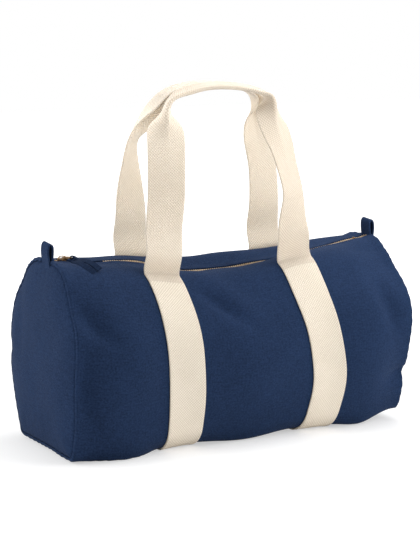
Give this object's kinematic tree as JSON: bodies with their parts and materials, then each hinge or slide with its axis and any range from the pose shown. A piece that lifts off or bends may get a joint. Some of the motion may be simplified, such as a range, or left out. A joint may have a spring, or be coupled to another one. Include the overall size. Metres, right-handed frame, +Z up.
{
  "type": "barrel bag",
  "caption": "Canvas barrel bag with a zipped mouth along the top, flat end panels, webbing straps wrapped under the body, arched carry handles and loop tabs at the ends.",
  "frame": {"origin": "on the floor under the middle of the barrel, at the underside of the straps", "axes": "+X along the barrel towards the closed end of the zip, -Y the front that the picture shows most of, +Z up"},
  "size_m": [0.471, 0.2086, 0.44],
  "materials": {
    "navy_canvas": "matt cotton canvas",
    "seam_binding": "matt woven binding",
    "natural_webbing": "undyed twill cotton webbing",
    "natural_thread": "undyed thread",
    "zip_tape": "woven tape",
    "zip_brass": "polished brass"
  },
  "bodies": {
    "shell": {"main_panel": "navy_canvas", "left_end_panel": "navy_canvas", "right_end_panel": "navy_canvas", "left_seam_binding": "seam_binding", "right_seam_binding": "seam_binding", "left_body_strap": "natural_webbing", "right_body_strap": "natural_webbing", "front_bar_stitches": "natural_thread", "rear_bar_stitches": "natural_thread", "zip_head_tapes": "zip_tape", "zip_tail_tapes": "zip_tape", "zip_head_teeth": "zip_brass", "zip_tail_teeth": "zip_brass", "zip_top_stops": "zip_brass", "zip_bottom_stop": "zip_brass"},
    "front_mouth": {"front_mouth_flap": "navy_canvas", "front_zip_tape": "zip_tape", "front_zip_teeth": "zip_brass"},
    "rear_mouth": {"rear_mouth_flap": "navy_canvas", "rear_zip_tape": "zip_tape", "rear_zip_teeth": "zip_brass"},
    "slider": {"zip_slider": "zip_brass", "slider_bridge": "zip_brass"},
    "pull_ring": {"zip_pull_ring": "zip_brass"},
    "pull_strip": {"zip_pull_strip": "navy_canvas"},
    "front_handle": {"front_handle": "natural_webbing"},
    "rear_handle": {"rear_handle": "natural_webbing"},
    "left_tab": {"left_tab": "navy_canvas"},
    "right_tab": {"right_tab": "navy_canvas"}
  },
  "joints": [
    {"name": "front_mouth_fold", "type": "hinge", "parent": "shell", "child": "front_mouth", "pos_m": [0, -0.04268, 0.22745], "axis": [1, 0, 0], "range_deg": [0, 75]},
    {"name": "rear_mouth_fold", "type": "hinge", "parent": "shell", "child": "rear_mouth", "pos_m": [0, 0.04268, 0.22745], "axis": [-1, 0, 0], "range_deg": [0, 75]},
    {"name": "zip_slide", "type": "slide", "parent": "shell", "child": "slider", "axis": [1, 0, 0], "range_m": [0, 0.41]},
    {"name": "ring_swing", "type": "hinge", "parent": "slider", "child": "pull_ring", "pos_m": [-0.2085, 0, 0.2347], "axis": [-0.5446, -0.8387, 0], "range_deg": [0, 100]},
    {"name": "pull_swing", "type": "hinge", "parent": "pull_ring", "child": "pull_strip", "pos_m": [-0.19928, -0.00599, 0.2347], "axis": [-0.5446, -0.8387, 0], "range_deg": [0, 45]},
    {"name": "front_handle_fold", "type": "hinge", "parent": "shell", "child": "front_handle", "pos_m": [0, -0.05593, 0.22473], "axis": [1, 0, 0], "range_deg": [0, 115]},
    {"name": "rear_handle_fold", "type": "hinge", "parent": "shell", "child": "rear_handle", "pos_m": [0, 0.05593, 0.22473], "axis": [-1, 0, 0], "range_deg": [0, 115]},
    {"name": "left_tab_bend", "type": "hinge", "parent": "shell", "child": "left_tab", "pos_m": [-0.2325, 0, 0.2329], "axis": [0, 1, 0], "range_deg": [-30, 30]},
    {"name": "right_tab_bend", "type": "hinge", "parent": "shell", "child": "right_tab", "pos_m": [0.2325, 0, 0.2329], "axis": [0, 1, 0], "range_deg": [-30, 30]}
  ]
}
